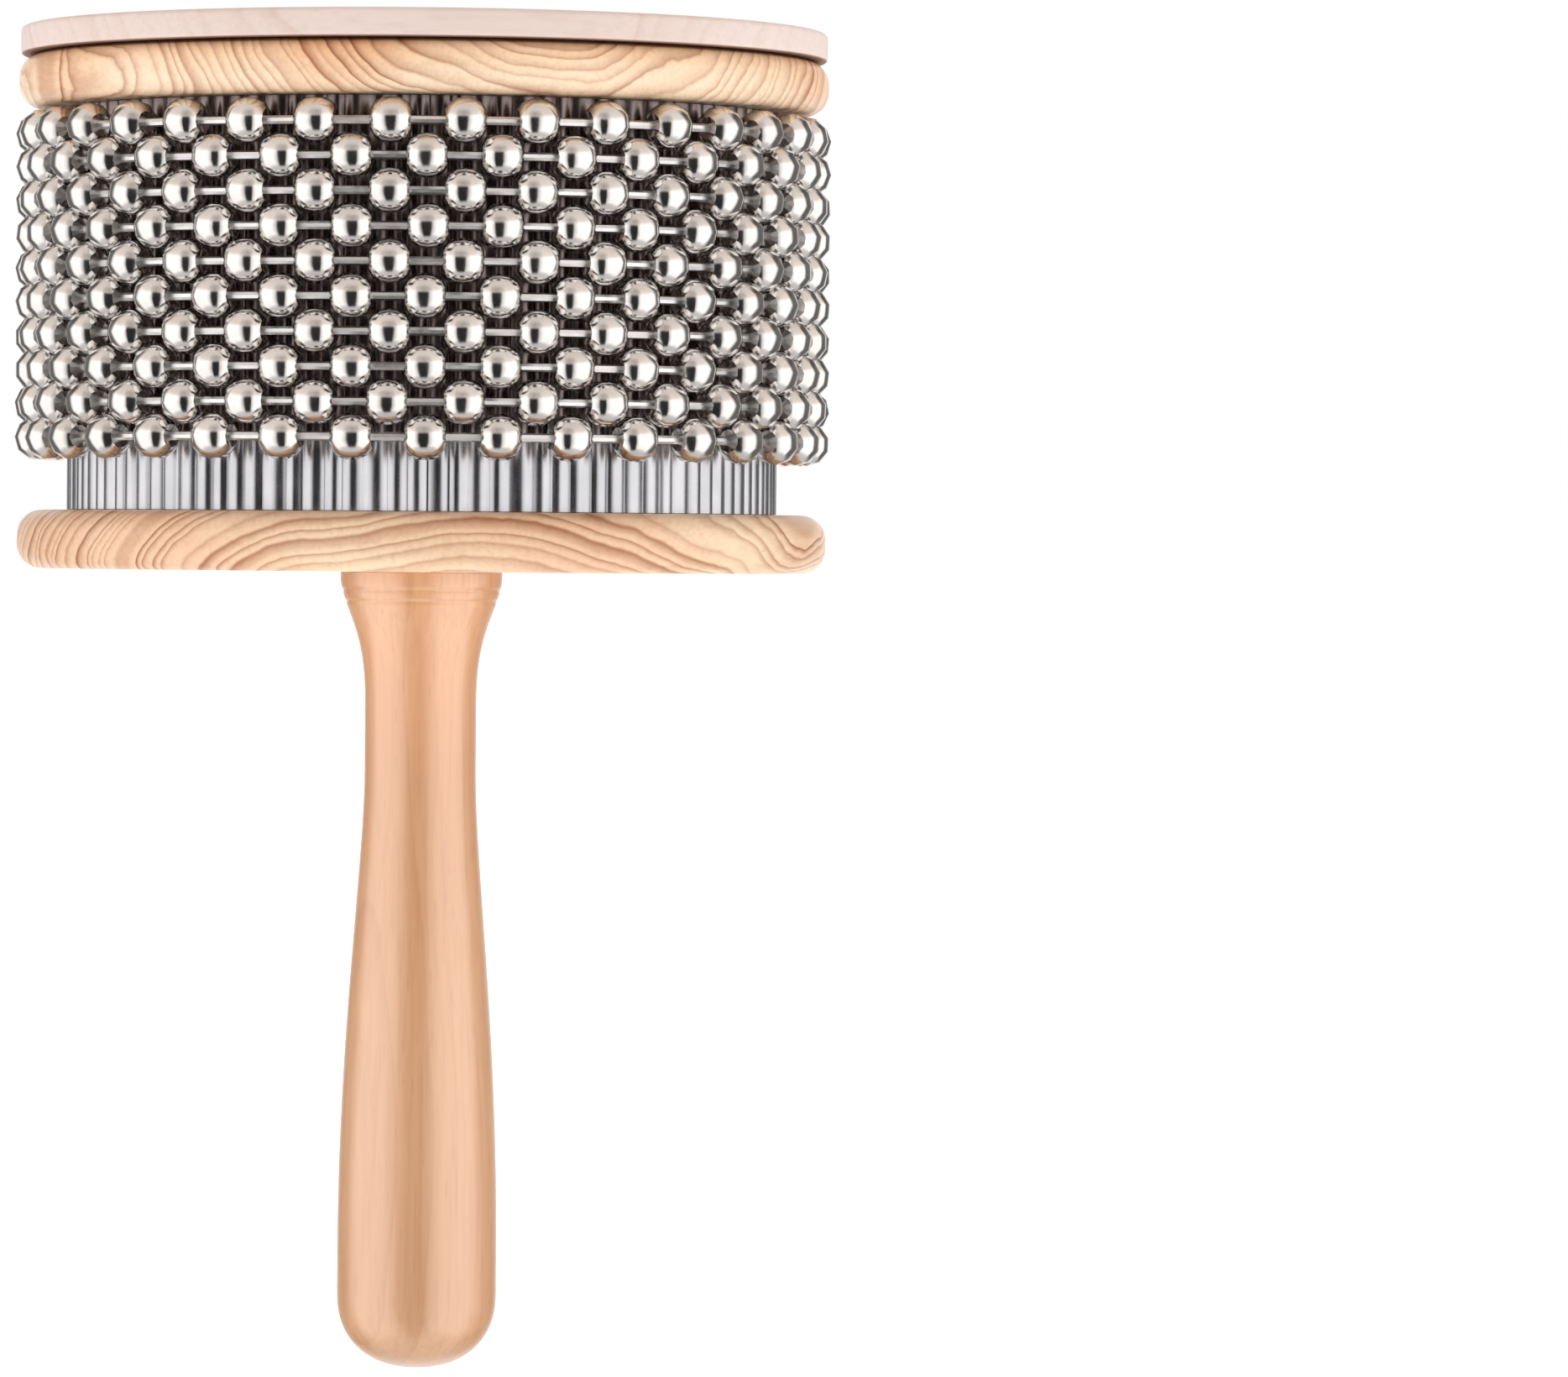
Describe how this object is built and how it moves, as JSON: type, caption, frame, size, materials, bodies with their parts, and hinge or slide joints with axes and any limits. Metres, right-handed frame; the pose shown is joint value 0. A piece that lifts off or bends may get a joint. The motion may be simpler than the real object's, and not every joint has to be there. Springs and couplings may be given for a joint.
{
  "type": "cabasa",
  "caption": "Hand percussion instrument: loops of steel ball chain turn round a ribbed steel drum between two wooden flanges on a turned handle.",
  "frame": {"origin": "on the instrument's axis, half-way up the wooden handle, where the hand holds it", "axes": "+Z along the instrument's axis from the handle to the drum; the sheet's nailed seam is on +Y and the front is -Y"},
  "size_m": [0.1232, 0.1232, 0.2021],
  "materials": {
    "handle_beech": "satin lacquer",
    "flange_pine": "satin lacquer over strong growth rings",
    "cover_wood": "pale, matt",
    "core_wood": "bare",
    "dowel_wood": "bare, fluted stock",
    "ribbed_steel": "bright, fine lengthwise lines",
    "bead_steel": "bright nickel plate",
    "zinc_steel": "zinc plated",
    "brass": "turned"
  },
  "bodies": {
    "head_and_handle": {"handle": "handle_beech", "handle_insert": "brass", "tie_bolt": "zinc_steel", "tie_washer": "zinc_steel", "lower_flange": "flange_pine", "upper_flange": "flange_pine", "core_drum": "core_wood", "ribbed_sleeve": "ribbed_steel", "cover_disc": "cover_wood", "lower_dowel_1": "dowel_wood", "lower_dowel_2": "dowel_wood", "upper_dowel_1": "dowel_wood", "upper_dowel_2": "dowel_wood", "seam_nail_1": "zinc_steel", "seam_nail_2": "zinc_steel", "seam_nail_3": "zinc_steel"},
    "chain_loop_01": {"chain_loop_01": "bead_steel"},
    "chain_loop_02": {"chain_loop_02": "bead_steel"},
    "chain_loop_03": {"chain_loop_03": "bead_steel"},
    "chain_loop_04": {"chain_loop_04": "bead_steel"},
    "chain_loop_05": {"chain_loop_05": "bead_steel"},
    "chain_loop_06": {"chain_loop_06": "bead_steel"},
    "chain_loop_07": {"chain_loop_07": "bead_steel"},
    "chain_loop_08": {"chain_loop_08": "bead_steel"},
    "chain_loop_09": {"chain_loop_09": "bead_steel"},
    "chain_loop_10": {"chain_loop_10": "bead_steel"}
  },
  "joints": [
    {"name": "chain_loop_01_turn", "type": "hinge", "parent": "head_and_handle", "child": "chain_loop_01", "pos_m": [0, 0, 0.1], "axis": [0, 0, 1], "continuous": true},
    {"name": "chain_loop_02_turn", "type": "hinge", "parent": "head_and_handle", "child": "chain_loop_02", "pos_m": [0, 0, 0.1], "axis": [0, 0, 1], "continuous": true},
    {"name": "chain_loop_03_turn", "type": "hinge", "parent": "head_and_handle", "child": "chain_loop_03", "pos_m": [0, 0, 0.1], "axis": [0, 0, 1], "continuous": true},
    {"name": "chain_loop_04_turn", "type": "hinge", "parent": "head_and_handle", "child": "chain_loop_04", "pos_m": [0, 0, 0.1], "axis": [0, 0, 1], "continuous": true},
    {"name": "chain_loop_05_turn", "type": "hinge", "parent": "head_and_handle", "child": "chain_loop_05", "pos_m": [0, 0, 0.1], "axis": [0, 0, 1], "continuous": true},
    {"name": "chain_loop_06_turn", "type": "hinge", "parent": "head_and_handle", "child": "chain_loop_06", "pos_m": [0, 0, 0.1], "axis": [0, 0, 1], "continuous": true},
    {"name": "chain_loop_07_turn", "type": "hinge", "parent": "head_and_handle", "child": "chain_loop_07", "pos_m": [0, 0, 0.1], "axis": [0, 0, 1], "continuous": true},
    {"name": "chain_loop_08_turn", "type": "hinge", "parent": "head_and_handle", "child": "chain_loop_08", "pos_m": [0, 0, 0.1], "axis": [0, 0, 1], "continuous": true},
    {"name": "chain_loop_09_turn", "type": "hinge", "parent": "head_and_handle", "child": "chain_loop_09", "pos_m": [0, 0, 0.1], "axis": [0, 0, 1], "continuous": true},
    {"name": "chain_loop_10_turn", "type": "hinge", "parent": "head_and_handle", "child": "chain_loop_10", "pos_m": [0, 0, 0.1], "axis": [0, 0, 1], "continuous": true}
  ],
  "couplings": [
    {"joint": "chain_loop_02_turn", "follows": "chain_loop_01_turn", "ratio": 1},
    {"joint": "chain_loop_03_turn", "follows": "chain_loop_01_turn", "ratio": 1},
    {"joint": "chain_loop_04_turn", "follows": "chain_loop_01_turn", "ratio": 1},
    {"joint": "chain_loop_05_turn", "follows": "chain_loop_01_turn", "ratio": 1},
    {"joint": "chain_loop_06_turn", "follows": "chain_loop_01_turn", "ratio": 1},
    {"joint": "chain_loop_07_turn", "follows": "chain_loop_01_turn", "ratio": 1},
    {"joint": "chain_loop_08_turn", "follows": "chain_loop_01_turn", "ratio": 1},
    {"joint": "chain_loop_09_turn", "follows": "chain_loop_01_turn", "ratio": 1},
    {"joint": "chain_loop_10_turn", "follows": "chain_loop_01_turn", "ratio": 1}
  ]
}
